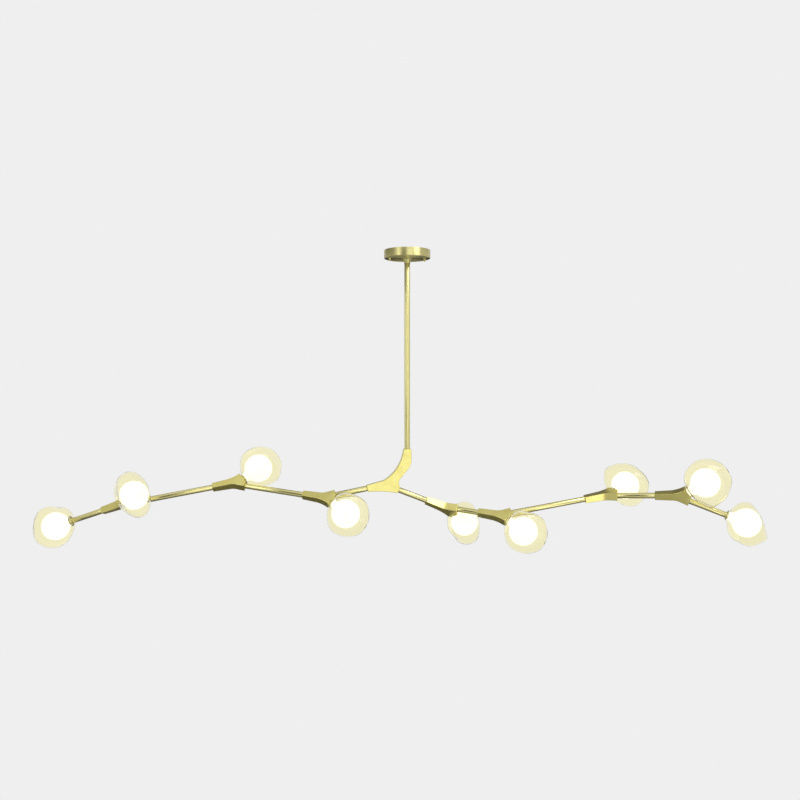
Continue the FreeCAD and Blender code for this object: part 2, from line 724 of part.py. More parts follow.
def rolled(direction, roll):
    rise, away = across(direction)
    angle = math.radians(roll.value)
    return rise * math.cos(angle) + away * math.sin(angle)


def tilted(along, side, angle):
    """The first direction turned towards the second by an angle."""
    return along * math.cos(angle) + side * math.sin(angle)


def arm_tube(arm, start, direction, tail):
    """A tube that turns in the socket it leaves and reaches the given length past its own socket."""
    length = arm_size(arm, "tube") + dims.socket_depth - dims.socket_end_gap + tail
    tube = body(f"{arm}_tube")
    sketch = sketch_on(tube, "XY_Plane")
    circle(sketch, 0, 0, dims.tube_radius)
    circle(sketch, 0, 0, dims.tube_bore_radius)
    pad(tube, sketch, length)
    inside = dims.socket_depth.value - dims.socket_end_gap.value
    tube.Placement = FreeCAD.Placement(start - direction * inside, FreeCAD.Rotation(UP, direction))
    keep(tube, f"{arm}_tube")


def globe_on(arm, face, neck, reference):
    """Lamp, opal globe and outer glass on a socket face; the outer glass is turned about the neck."""
    upright = placed(reference, neck, face)
    keep(copy_of(lamp_master, f"{arm}_lamp_copy", upright), f"{arm}_lamp")
    keep(copy_of(opal_master, f"{arm}_opal_copy", upright), f"{arm}_opal")
    turn = math.radians(arm_size(arm, "turn").value)
    wide = tilted(reference, neck.cross(reference), turn)
    keep(copy_of(glass_master, f"{arm}_glass_copy", placed(wide, neck, face)), f"{arm}_glass")


def fork_on(arm, small_end, sleeve, side):
    """A fork with its small end at a point, its sleeve along one direction and its globe to a side."""
    place = placed(sleeve, side, small_end)
    keep(copy_of(fork_master, f"{arm}_fork_copy", place), f"{arm}_fork")
    _, (face_x, face_z), _ = fork_points()
    globe_angle = math.radians(dims.fork_globe_angle.value)
    face = small_end + sleeve * face_x.value + side * face_z.value
    neck = tilted(sleeve, side, globe_angle)
    globe_on(arm, face, neck, tilted(side, -sleeve, globe_angle))


def end_on(arm, tube_end, direction):
    """The end socket and its globe at the tip of the last tube."""
    face = tube_end + direction * dims.end_flange_height.value
    rightwards = direction if direction.x > 0 else -direction
    rise = across(rightwards)[0]
    keep(copy_of(end_master, f"{arm}_end_copy", placed(rise, direction, face)), f"{arm}_end_socket")
    globe_on(arm, face, direction, rise)


def build_left_arms():
    """Each tube ends in the rod socket of a fork, and the next tube leaves its small end."""
    bend = math.radians(dims.fork_rod_angle.value)
    start = V(dims.centre_left_x.value, 0, dims.centre_left_z.value)
    direction = flat_direction(dims.centre_left_dip, -1)
    for arm in ("left_1", "left_2", "left_3"):
        arm_tube(arm, start, direction, dims.socket_depth)
        rod_end = start + direction * arm_size(arm, "tube").value
        rod = -direction
        lift = rolled(rod, arm_size(arm, "roll"))
        sleeve = tilted(rod, lift, bend)
        side = tilted(lift, -rod, bend)
        small_end = rod_end - rod * dims.fork_rod_length.value - sleeve * dims.fork_sleeve.value
        fork_on(arm, small_end, sleeve, side)
        start, direction = small_end, -sleeve
    build_tip("left_4", start, direction)


def build_right_arms():
    """Each tube ends in the small end of a fork, and the next tube leaves its rod socket."""
    bend = math.radians(dims.fork_rod_angle.value)
    start = V(dims.centre_right_x.value, 0, dims.centre_right_z.value)
    direction = flat_direction(dims.centre_right_dip, 1)
    for arm in ("right_1", "right_2", "right_3", "right_4"):
        arm_tube(arm, start, direction, dims.socket_depth)
        small_end = start + direction * arm_size(arm, "tube").value
        side = rolled(direction, arm_size(arm, "roll"))
        fork_on(arm, small_end, direction, side)
        rod = tilted(direction, -side, bend)
        start = small_end + direction * dims.fork_sleeve.value + rod * dims.fork_rod_length.value
        direction = rod
    build_tip("right_5", start, direction)


def build_tip(arm, start, direction):
    """The last tube of a side stops at the flare of its end socket."""
    arm_tube(arm, start, direction, -dims.end_flange_height)
    flare = arm_size(arm, "tube").value - dims.end_flange_height.value
    end_on(arm, start + direction * flare, direction)


build_ceiling()
build_canopy()
build_stem()
fork_master = fork_casting()
end_master = end_socket()
opal_master = opal_globe()
glass_master = outer_glass()
lamp_master = lamp_set()
build_left_arms()
build_right_arms()
doc.recompute()

# ---------------------------------------------------------------- checks and export
failed = [item.Name for item in doc.Objects if "Invalid" in item.State or "Error" in item.State]
assert not failed, f"failed objects: {failed}"
for node in nodes:
    shape = node.Shape
    assert not shape.isNull() and shape.isValid() and shape.Volume > 0, f"bad shape: {node.Label}"
    shape.exportStep(f"parts/{node.Label}.step")
print(len(nodes), "sub-parts written")
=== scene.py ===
# %% [markdown]
# # Branch chandelier in satin brass and blown glass
# A round canopy and a long stem carry a flat brass casting, and two branches grow from its foot.
# Each branch is tube, fork, tube, fork, out to a flared tip. Each fork and tip holds a lit opal
# globe inside a blown envelope of champagne glass.
# Such a scene could be modelled from nothing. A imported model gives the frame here, because every
# body, joint and node in it already sits where the real part does.

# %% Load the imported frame
import json
import math

import bpy
from mathutils import Matrix, Vector


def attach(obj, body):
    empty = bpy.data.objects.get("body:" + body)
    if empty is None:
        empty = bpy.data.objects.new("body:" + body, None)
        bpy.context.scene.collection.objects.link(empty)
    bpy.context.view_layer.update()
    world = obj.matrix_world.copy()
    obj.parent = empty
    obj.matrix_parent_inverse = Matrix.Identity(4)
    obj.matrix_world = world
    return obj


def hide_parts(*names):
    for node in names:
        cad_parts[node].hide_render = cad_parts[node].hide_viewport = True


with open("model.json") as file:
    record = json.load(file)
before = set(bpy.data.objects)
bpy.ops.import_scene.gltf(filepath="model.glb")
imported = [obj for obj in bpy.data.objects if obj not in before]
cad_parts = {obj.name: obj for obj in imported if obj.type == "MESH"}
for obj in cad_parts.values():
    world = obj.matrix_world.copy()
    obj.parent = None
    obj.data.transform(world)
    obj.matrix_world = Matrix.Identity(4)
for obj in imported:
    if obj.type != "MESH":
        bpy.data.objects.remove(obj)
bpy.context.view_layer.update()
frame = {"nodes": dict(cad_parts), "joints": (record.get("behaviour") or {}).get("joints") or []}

# %% [markdown]
# ## Working in millimetres
# Blender's unit is the metre, and a maker's drawing is in millimetres. The scene's unit could be
# changed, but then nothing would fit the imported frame. One factor, written beside each length,
# keeps both.

# %% One millimetre and the three axes
MM = 0.001
X, Y, Z = Vector((1, 0, 0)), Vector((0, 1, 0)), Vector((0, 0, 1))
print("a tube of 16 mm is", 16 * MM, "m across")

# %% [markdown]
# ## Taking up one piece
# An operator acts on all that is selected, as it does under the hand. Faces and vertices could be
# picked by number. A test on their place or normal is safer, because it still finds them once an
# edit has changed the numbers.

# %% Select one piece, or part of it
def alone(piece):
    """Deselects everything and takes up one piece in object mode."""
    if bpy.context.mode != "OBJECT":
        bpy.ops.object.mode_set(mode="OBJECT")
    bpy.ops.object.select_all(action="DESELECT")
    piece.select_set(True)
    bpy.context.view_layer.objects.active = piece

def pick(piece, kind, test):
    """Enters edit mode with only the vertices or faces that pass the test."""
    alone(piece)
    bpy.context.tool_settings.mesh_select_mode = (kind == "VERT", False, kind == "FACE")
    bpy.ops.object.mode_set(mode="EDIT")
    bpy.ops.mesh.select_all(action="DESELECT")
    bpy.ops.object.mode_set(mode="OBJECT")
    items = piece.data.vertices if kind == "VERT" else piece.data.polygons
    for item in items:
        item.select = test(item)
    bpy.ops.object.mode_set(mode="EDIT")

print("selected after loading:", len(bpy.context.selected_objects))

# %% [markdown]
# ## Finishing a piece
# A modifier can stay live or be applied. Here each is applied, so that the mesh that is measured
# and exported is the one in the picture. Spinning and bridging can leave faces that point
# inwards, so doubles are merged and the normals are worked out again after them.

# %% Modifiers, normals and shading
CRISP_EDGE = 35

def modify(piece, kind, **settings):
    """Adds one modifier with its settings and applies it."""
    alone(piece)
    modifier = piece.modifiers.new(kind.title(), kind)
    for name, value in settings.items():
        setattr(modifier, name, value)
    bpy.ops.object.modifier_apply(modifier=modifier.name)

def bevel(piece, width, segments, degrees):
    """Rounds the edges that are sharper than this."""
    modify(piece, "BEVEL", width=width, segments=segments,
           limit_method="ANGLE", angle_limit=math.radians(degrees))

def outwards(piece):
    """Merges doubles and turns every face outwards."""
    pick(piece, "VERT", lambda vertex: True)
    bpy.ops.mesh.remove_doubles(threshold=1e-6)
    bpy.ops.mesh.normals_make_consistent(inside=False)
    bpy.ops.object.mode_set(mode="OBJECT")

def smooth(piece, degrees=CRISP_EDGE):
    """Smooth shading that keeps the sharper edges crisp."""
    alone(piece)
    bpy.ops.object.shade_smooth_by_angle(angle=math.radians(degrees))

print("edges over", CRISP_EDGE, "degrees stay crisp")

# %% [markdown]
# ## Colours and nodes
# A colour could be picked by eye. Here each is an sRGB hex value, as a colour chart gives it, and
# one function turns it to the linear value that a shader works in. One small function adds a
# node with its settings and links, so that a material reads from top to bottom.

# %% Colours and nodes
def linear(hex_value):
    """An sRGB hex colour as linear RGBA."""
    parts = [int(hex_value[i:i + 2], 16) / 255 for i in (0, 2, 4)]
    return [c / 12.92 if c <= 0.04045 else ((c + 0.055) / 1.055) ** 2.4 for c in parts] + [1.0]

def add(material, kind, settings=(), **inputs):
    """Adds one node. An input is a value, or the output socket that feeds it."""
    node = material.node_tree.nodes.new(kind)
    for name, value in dict(settings).items():
        setattr(node, name, value)
    for name, value in inputs.items():
        socket = node.inputs[name.replace("_", " ")]
        if isinstance(value, bpy.types.NodeSocket):
            material.node_tree.links.new(value, socket)
        else:
            socket.default_value = value
    return node

def feed(material, output, socket):
    """Links an output to a socket."""
    material.node_tree.links.new(output, socket)

def start_material(name, **inputs):
    """A new material, its shader with these inputs set, and its object coordinates."""
    material = bpy.data.materials.new(name)
    material.use_nodes = True
    shader = material.node_tree.nodes["Principled BSDF"]
    for key, value in inputs.items():
        shader.inputs[key.replace("_", " ")].default_value = value
    place = add(material, "ShaderNodeTexCoord").outputs["Object"]
    return material, shader, place

def two_tones(material, output, spots, colours):
    """A ramp between two colours at two spots, driven by a node's output."""
    tone = add(material, "ShaderNodeValToRGB", Fac=output)
    for element, spot, colour in zip(tone.color_ramp.elements, spots, colours):
        element.position, element.color = spot, linear(colour)
    return tone.outputs["Color"]

def roughen(material, shader, output, rough, strength, depth):
    """Lets a noise drive the roughness between two values, and a bump."""
    spread = add(material, "ShaderNodeMapRange", Value=output, To_Min=rough[0], To_Max=rough[1])
    bump = add(material, "ShaderNodeBump", Height=output, Strength=strength, Distance=depth)
    feed(material, spread.outputs["Result"], shader.inputs["Roughness"])
    feed(material, bump.outputs["Normal"], shader.inputs["Normal"])

print("sRGB 808080 is", round(linear("808080")[0], 3), "in linear light")

# %% [markdown]
# ## Satin brass on the castings
# The forks and the centre piece are sand-cast brass, ground flat, bead blasted to an even satin and
# lacquered. One value for roughness would look like plastic. Blasted metal has grains of about
# half a millimetre, so an even noise drives both the bump and a slightly uneven roughness.

# %% Material: cast brass
# The lacquered alloy is a pale yellow with a trace of green. Castings read deeper than tubes.
BRASS = "C8C078"
BRASS_DEEP = "C1B66D"
BRASS_BRIGHT = "CCC488"

def cast_brass():
    """Cast brass: flat faces that show one calm tone each, with a soft edge to every reflection."""
    material, shader, place = start_material("satin_cast_brass", Metallic=1.0)
    # The lacquer's thickness drifts in patches of about 36 mm, which shifts the colour a little.
    drift = add(material, "ShaderNodeTexNoise", Vector=place, Scale=28.0, Detail=2.0)
    tone = two_tones(material, drift.outputs["Fac"], (0.35, 0.65), (BRASS_DEEP, BRASS))
    feed(material, tone, shader.inputs["Base Color"])
    # Grain of 0.5 mm, drawn at 0.9 mm so that it holds in the render.
    grain = add(material, "ShaderNodeTexNoise", Vector=place, Scale=1 / (0.9 * MM), Detail=1.5)
    roughen(material, shader, grain.outputs["Fac"], (0.27, 0.37), 0.25, 0.06 * MM)
    return material

CAST_BRASS = cast_brass()
print("made", CAST_BRASS.name)

# %% [markdown]
# ## Brushed brass on the tubes
# Drawn tube is brushed along its length, so its scratches are long and thin. They could be a bump
# alone, but each is finer than a pixel here, and a strong bump looks like rope. So the shader's
# anisotropy does most of it, along the tube's own UV map, and a faint bump does the rest.

# %% Material: brushed brass tube
def brushed_tube():
    """Brushed tube: a bright line along the tube that fades softly to both sides."""
    material, shader, _ = start_material(
        "brushed_brass_tube", Base_Color=linear(BRASS_BRIGHT), Metallic=1.0, Anisotropic=0.55)
    brushing = add(material, "ShaderNodeTangent", {"direction_type": "UV_MAP", "uv_map": "UVMap"})
    feed(material, brushing.outputs["Tangent"], shader.inputs["Tangent"])
    wrap = add(material, "ShaderNodeUVMap", {"uv_map": "UVMap"})
    # Scratches of 0.1 mm, drawn at 0.2 mm: 240 of them go round a girth of 50 mm.
    # Six along the tube's length leave each several centimetres long.
    stretch = add(material, "ShaderNodeMapping", Vector=wrap.outputs["UV"],
                  Scale=(240.0, 6.0, 1.0))
    lines = add(material, "ShaderNodeTexNoise", Vector=stretch.outputs["Vector"],
                Scale=1.0, Detail=2.0)
    roughen(material, shader, lines.outputs["Fac"], (0.24, 0.32), 0.04, 0.04 * MM)
    return material

TUBE_BRASS = brushed_tube()
print("made", TUBE_BRASS.name)

# %% [markdown]
# ## Spun brass on the canopy and turned brass on the small parts
# The canopy is spun from sheet, and the collar, the nuts and the tips are turned. Their tool marks
# all run round the axis, and marks that run one way draw a highlight out across them, so a spun cup
# shows bright upright bands. Painted bands would stay put as the light moves. So the shader is
# strongly anisotropic about the vertical axis, and rings of noise add the marks themselves.

# %% Material: spun and turned brass
def spun_brass():
    """Spun brass: upright bands of light on a wall, and a fan of light on a floor."""
    # A quarter turn sets the shader's direction across the tangent, which runs round the axis.
    material, shader, place = start_material(
        "spun_brass", Base_Color=linear(BRASS_BRIGHT), Metallic=1.0,
        Anisotropic=0.95, Anisotropic_Rotation=0.25)
    lathe = add(material, "ShaderNodeTangent", {"direction_type": "RADIAL", "axis": "Z"})
    feed(material, lathe.outputs["Tangent"], shader.inputs["Tangent"])
    # Radius and height alone, so that the noise becomes rings.
    parts = add(material, "ShaderNodeSeparateXYZ", Vector=place)
    flat = add(material, "ShaderNodeVectorMath", {"operation": "MULTIPLY"})
    feed(material, place, flat.inputs[0])
    flat.inputs[1].default_value = (1.0, 1.0, 0.0)
    radius = add(material, "ShaderNodeVectorMath", {"operation": "LENGTH"})
    feed(material, flat.outputs["Vector"], radius.inputs[0])
    track = add(material, "ShaderNodeCombineXYZ", X=radius.outputs["Value"], Z=parts.outputs["Z"])
    # Tool marks 0.35 mm apart, drawn at 0.5 mm so that they hold in the render.
    marks = add(material, "ShaderNodeTexNoise", Vector=track.outputs["Vector"],
                Scale=1 / (0.5 * MM), Detail=2.0)
    roughen(material, shader, marks.outputs["Fac"], (0.36, 0.46), 0.25, 0.04 * MM)
    return material

SPUN_BRASS = spun_brass()
print("made", SPUN_BRASS.name)

# %% [markdown]
# ## Champagne glass
# The envelope is mouth-blown soda-lime glass with a faint champagne tint. A tinted see-through
# shader would be quicker, but it would not bend what is behind it. So this is real transmission
# through a real wall. Such glass has an IOR of 1.5, which gives hard, dark rims on a wall that is
# drawn 2 mm thick. The real wall is thinner and its rims are pale, and an IOR of 1.3 matches them.

# %% Material: champagne glass
def champagne_glass():
    """Blown glass: a pale champagne veil, a little deeper at the rim, with a few small glints."""
    material, shader, place = start_material(
        "champagne_blown_glass", Base_Color=linear("FEFBE3"), Transmission_Weight=1.0,
        IOR=1.3, Roughness=0.0)
    # Waves 20 mm long from the blowing, with finer ones on them.
    waves = add(material, "ShaderNodeTexNoise", Vector=place,
                Scale=1 / (20 * MM), Detail=2.5, Roughness=0.45)
    bump = add(material, "ShaderNodeBump", Height=waves.outputs["Fac"],
               Strength=0.15, Distance=0.8 * MM)
    feed(material, bump.outputs["Normal"], shader.inputs["Normal"])
    return material

GLASS = champagne_glass()
print("made", GLASS.name)

# %% [markdown]
# ## Lit opal glass
# The inner globe is white opal glass with an acid-etched skin, lit by its lamp. Light scattering
# inside the wall could be rendered, but it is slow and noisy, and the eye only sees an even
# glow. Emission gives that glow, and a slow noise between two near whites gives the uneven wall.

# %% Material: lit opal glass
def opal_glass():
    """Lit opal: an even white glow, a trace warmer where the wall is thicker."""
    material, shader, place = start_material(
        "lit_opal_glass", Base_Color=linear("E6E4DC"), Roughness=0.35, Emission_Strength=1.0)
    cloud = add(material, "ShaderNodeTexNoise", Vector=place, Scale=1 / (30 * MM), Detail=1.0)
    tone = two_tones(material, cloud.outputs["Fac"], (0.3, 0.7), ("FFFDF4", "FFFFFC"))
    feed(material, tone, shader.inputs["Emission Color"])
    return material

OPAL = opal_glass()
print("made", OPAL.name)

# %% [markdown]
# ## Hardware finishes
# Inside the canopy are zinc-plated steel and moulded plastic, and the lampholders are ceramic.
# Each could have its own graph. They differ only in colour, gloss and grain, so one recipe with
# different numbers does for all.

# %% Materials: zinc-plated steel, moulded thermoplastic, ceramic
def plain_finish(name, colours, metallic, rough, grain_mm, bump_strength):
    """A finish whose colour, roughness and bump all follow one grain."""
    material, shader, place = start_material(name, Metallic=metallic)
    grain = add(material, "ShaderNodeTexNoise", Vector=place, Scale=1 / (grain_mm * MM), Detail=3.0)
    tone = two_tones(material, grain.outputs["Fac"], (0.35, 0.65), colours)
    feed(material, tone, shader.inputs["Base Color"])
    roughen(material, shader, grain.outputs["Fac"], rough, bump_strength, 0.05 * MM)
    return material

# Zinc plate shows spangles of a few millimetres, bluish against greyer.
ZINC = plain_finish("zinc_plated_steel", ("AEB3B8", "C9CCCE"), 1.0, (0.28, 0.42), 3.0, 0.2)
# Moulded thermoplastic has a fine spark-eroded skin, which dulls it evenly.
MOULDED = plain_finish("moulded_thermoplastic", ("E9E8E2", "F2F1EC"), 0.0, (0.45, 0.55), 0.8, 0.3)
# Steatite ceramic is fired unglazed, so it is matt and slightly speckled.
CERAMIC = plain_finish("steatite_ceramic", ("F1EEE2", "FAF8F0"), 0.0, (0.5, 0.7), 1.2, 0.3)
print("made", ZINC.name, MOULDED.name, CERAMIC.name)

# %% [markdown]
# ## Drawing an outline
# A flat casting starts in the workshop as a drawing. A filled curve could give it, but a curve
# leaves uneven points where it turns into a mesh. Here one vertex is extruded from corner to
# corner, with short steps on the arcs, and the outline is filled and extruded to a plate.

# %% Outline, arc and plate
def draw(name, points):
    """Draws a closed outline by extruding one vertex from point to point."""
    bpy.ops.object.select_all(action="DESELECT")
    bpy.ops.mesh.primitive_plane_add(size=2 * MM)
    piece = bpy.context.object
    piece.name = name
    pick(piece, "VERT", lambda vertex: True)
    bpy.ops.mesh.merge(type="CENTER")
    bpy.ops.transform.translate(value=points[0])
    for start, end in zip(points, points[1:]):
        bpy.ops.mesh.extrude_region_move(TRANSFORM_OT_translate={"value": end - start})
    last = len(points) - 1
    pick(piece, "VERT", lambda vertex: vertex.index in (0, last))
    bpy.ops.mesh.edge_face_add()
    bpy.ops.object.mode_set(mode="OBJECT")
    return piece

def at(x, z):
    """A corner of a drawing in XZ, in millimetres."""
    return Vector((x, 0, z)) * MM

def arc(start, end, radius, steps):
    """Points after start up to end, in XZ. A positive radius bulges to the right of the way."""
    chord = end - start
    sagitta = abs(radius) - math.sqrt(radius ** 2 - (chord.length / 2) ** 2)
    right = Y.cross(chord).normalized() * math.copysign(1, radius)
    centre = (start + end) / 2 + right * (sagitta - abs(radius))
    first, last = start - centre, end - centre
    turn = first.angle(last)
    axis = first.cross(last).normalized()
    return [
        centre + Matrix.Rotation(turn * step / steps, 3, axis) @ first
        for step in range(1, steps + 1)]

def plate(name, points, thickness):
    """A flat casting's blank: a filled outline in XZ, extruded along Y."""
    piece = draw(name, points)
    pick(piece, "VERT", lambda vertex: True)
    bpy.ops.mesh.edge_face_add()
    bpy.ops.transform.translate(value=(0, -thickness / 2, 0))
    bpy.ops.mesh.extrude_region_move(TRANSFORM_OT_translate={"value": (0, thickness, 0)})
    outwards(piece)
    return piece

trial = arc(at(0, 0), at(9, 0), 9 * MM, 3)
print("an arc in three steps, in mm:", [(round(p.x / MM, 1), round(p.z / MM, 1)) for p in trial])

# %% [markdown]
# ## Turning and boring
# Round parts come off a lathe, and sockets are bored with a drill. A round part could be built from
# cylinders and cones that are stuck together, which leaves seams. Half a profile that is spun
# round its axis is one clean skin. A bore is a bar that a Boolean takes away, and a short cone
# cuts the chamfer at its mouth.

# %% Turned part, bar and bore
ROUND = 64

def turned(name, profile, steps=ROUND):
    """A part turned round its own Z axis from (radius, height) corners in millimetres."""
    piece = draw(name, [at(radius, height) for radius, height in profile])
    pick(piece, "VERT", lambda vertex: True)
    bpy.ops.mesh.spin(steps=steps, angle=2 * math.pi, center=(0, 0, 0), axis=(0, 0, 1))
    outwards(piece)
    return piece

def rod(start, end, radius, vertices=ROUND, tip_radius=None):
    """A bar between two points, or a cone if the tip has its own radius. It is a cutting tool."""
    along = end - start
    bpy.ops.object.select_all(action="DESELECT")
    bpy.ops.mesh.primitive_cone_add(
        vertices=vertices, radius1=radius, radius2=radius if tip_radius is None else tip_radius,
        depth=along.length, location=(start + end) / 2,
        rotation=along.to_track_quat("Z", "Y").to_euler())
    bpy.ops.object.transform_apply(location=True, rotation=True, scale=True)
    return bpy.context.object

def combine(piece, tool, operation):
    """Adds or cuts with a tool, which is then put away."""
    modify(piece, "BOOLEAN", operation=operation, object=tool, solver="EXACT")
    bpy.data.objects.remove(tool)

def bore(piece, mouth, inward, radius, depth, chamfer=0.5 * MM):
    """A round socket with a small chamfer at its mouth. The tools start 1 mm outside."""
    outside = mouth - inward * MM
    combine(piece, rod(outside, mouth + inward * depth, radius), "DIFFERENCE")
    if chamfer:
        # The cone's end lies free in the bore, so that no two faces coincide and leave a disc.
        tip = mouth + inward * (chamfer + MM)
        combine(piece, rod(outside, tip, radius + chamfer + MM, tip_radius=radius - MM),
                "DIFFERENCE")

print("a turned part has", ROUND, "steps round, and so has a bore")

# %% [markdown]
# ## Sizes that pieces share
# A tube of 16 mm slips into a socket that is a tenth of a millimetre wider, and a grub screw holds
# it. Each piece could carry its own sizes, but those it shares are written once, so that the
# pieces still fit when one is changed. The fork is drawn with X along its sleeve, from the small
# end, and Z towards its globe.

# %% Shared sizes
TUBE_RADIUS, TUBE_WALL, SOCKET_RADIUS = 8 * MM, 1 * MM, 8.05 * MM
SOCKET_DEPTH, STEM_SOCKET_DEPTH = 16 * MM, 22 * MM
SPIGOT_RADIUS, SPIGOT_HEIGHT = 10 * MM, 14 * MM
LAMP_SEAT_RADIUS, LAMP_SEAT_DEPTH = 8.8 * MM, 15.5 * MM
SCREW_HOLE_RADIUS, SCREW_INSET = 2 * MM, 8 * MM
RIM_BEVEL = 1.2 * MM
SLEEVE, ROD_LENGTH = 56 * MM, 40 * MM
ROD_ANGLE, GLOBE_ANGLE = math.radians(26), math.radians(33)
GLOBE_X, GLOBE_Z, GLOBE_DISTANCE = 137 * MM, 41 * MM, 56 * MM

# Points and directions of the fork's drawing.
neck = Vector((math.cos(GLOBE_ANGLE), 0, math.sin(GLOBE_ANGLE)))
face = Vector((GLOBE_X, 0, GLOBE_Z)) - neck * GLOBE_DISTANCE
rod_way = Vector((math.cos(ROD_ANGLE), 0, -math.sin(ROD_ANGLE)))
rod_end = X * SLEEVE + rod_way * ROD_LENGTH
print("rod's end at", [round(value / MM, 1) for value in rod_end], "mm in the fork's drawing")

# %% [markdown]
# ## Where each arm stands
# On the real lamp each fork is slipped on a tube and turned until the branch looks right. All nine
# places could be typed in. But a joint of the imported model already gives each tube's start and
# direction, and two joints in a row fix where the fork between them sits.

# %% Places of the forks
LEFT = ("left_1", "left_2", "left_3", "left_4")
RIGHT = ("right_1", "right_2", "right_3", "right_4", "right_5")
ARMS = LEFT + RIGHT
FORKED = LEFT[:-1] + RIGHT[:-1]
TIP_TUBE = {"left_4": 109 * MM, "right_5": 108 * MM}
joint_of = {joint["child"]: joint for joint in frame["joints"]}

def start_of(arm):
    """Where an arm's tube starts, and its direction."""
    return Vector(joint_of[arm]["pos_m"]), Vector(joint_of[arm]["axis"]).normalized()

def standing(x_axis, z_axis, origin):
    """The matrix that takes a drawing's axes to the given ones."""
    y_axis = z_axis.cross(x_axis).normalized()
    turn = Matrix((x_axis, y_axis, z_axis)).transposed().to_4x4()
    return Matrix.Translation(origin) @ turn

def fork_place(arm):
    """The fork's matrix, and the point where the arm's own tube enters it."""
    along = start_of(arm)[1]
    chain = LEFT if arm in LEFT else RIGHT
    next_origin, next_along = start_of(chain[chain.index(arm) + 1])
    if arm in LEFT:
        # A left tube enters its fork by the rod, and the next tube leaves by the sleeve.
        small, sleeve = next_origin, -next_along
        end = small + sleeve * SLEEVE - along * ROD_LENGTH
        mouth = end
    else:
        # A right tube enters by the sleeve.
        sleeve, end = along, next_origin
        small = end - next_along * ROD_LENGTH - sleeve * SLEEVE
        mouth = small
    side = ((end - small - sleeve * rod_end.x) / rod_end.z).normalized()
    return standing(sleeve, side, small), mouth

print("first fork at", [round(value, 3) for value in fork_place("left_1")[0].translation])

# %% Places of the tips and globes
def tip_place(arm):
    """The matrix of a tip's socket face, Z along the neck, and the end of its tube."""
    origin, along = start_of(arm)
    rightwards = along if along.x > 0 else -along
    rise = (Z - rightwards * rightwards.z).normalized()
    seat = origin + along * TIP_TUBE[arm]
    return standing(rise, along, seat), seat - along * 6 * MM

def globe_place(arm):
    """The matrix of a globe's drawing: origin on its seat, Z out along its neck."""
    if arm in TIP_TUBE:
        return tip_place(arm)[0]
    place = fork_place(arm)[0]
    turn = place.to_3x3()
    return standing(turn @ neck.cross(Y), turn @ neck, place @ face)

for arm in ARMS:
    print(arm, "seat at", [round(value, 3) for value in globe_place(arm).translation])

# %% [markdown]
# ## Handing a piece over
# Seven forks come from one mould. They could be linked copies that share a mesh, but the packed
# frame wants every piece at the origin with its place in its mesh. So a shape is made once, and
# each copy gets its own mesh, rides on its body and stands for its node.

# %% Copy, join and hand over
def copy_to(master, name, matrix):
    """A copy with its own mesh, and its place moved into the mesh."""
    piece = master.copy()
    piece.data = master.data.copy()
    piece.name = name
    bpy.context.scene.collection.objects.link(piece)
    piece.matrix_world = matrix
    alone(piece)
    bpy.ops.object.transform_apply(location=True, rotation=True, scale=True)
    return piece

def joined(pieces, name):
    """Several loose pieces as one object."""
    alone(pieces[0])
    for piece in pieces:
        piece.select_set(True)
    bpy.ops.object.join()
    pieces[0].name = name
    return pieces[0]

def hand_over(piece, body, material, nodes=()):
    """Gives a piece its finish, its body and the nodes that it stands for."""
    piece.data.materials.clear()
    piece.data.materials.append(material)
    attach(piece, body)
    if nodes:
        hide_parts(*nodes)

def put_away(*masters):
    """Removes shapes that were only there to be copied."""
    for master in masters:
        bpy.data.objects.remove(master)

# %% [markdown]
# ## Forked casting
# Each fork is a Y plate, thicker towards the globe. It could be three bars that are joined, but a
# casting's rim flows in hollow curves. So it is an outline that is extruded, and two slanted cuts
# taper its flat faces. The rim is bevelled before the sockets are bored, so that their mouths
# stay crisp.

# %% Forked casting
FORK_THICKNESS, TAPER_LENGTH, SMALL_END = 24 * MM, 85 * MM, 9.25 * MM
screw_spots = (X * SCREW_INSET, rod_end - rod_way * SCREW_INSET)

def fork_outline():
    """The Y: along the belly to the rod's end, round the spigot's face, and back."""
    rod_side, neck_side = rod_way.cross(Y), neck.cross(Y)
    half_rod, half_face = 10 * MM, 16 * MM
    points = [-Z * SMALL_END, at(46, -10.3)]
    points += arc(points[-1], at(66, -14.7), -40 * MM, 6)
    points += [rod_end - rod_side * half_rod, rod_end + rod_side * half_rod]
    points += [Vector((rod_end.x - MM, 0, face.z - 14 * MM))]
    points += [face - neck_side * half_face, face + neck_side * half_face]
    points += arc(points[-1], at(44, 11.3), -95 * MM, 12)
    return points + [Z * SMALL_END]

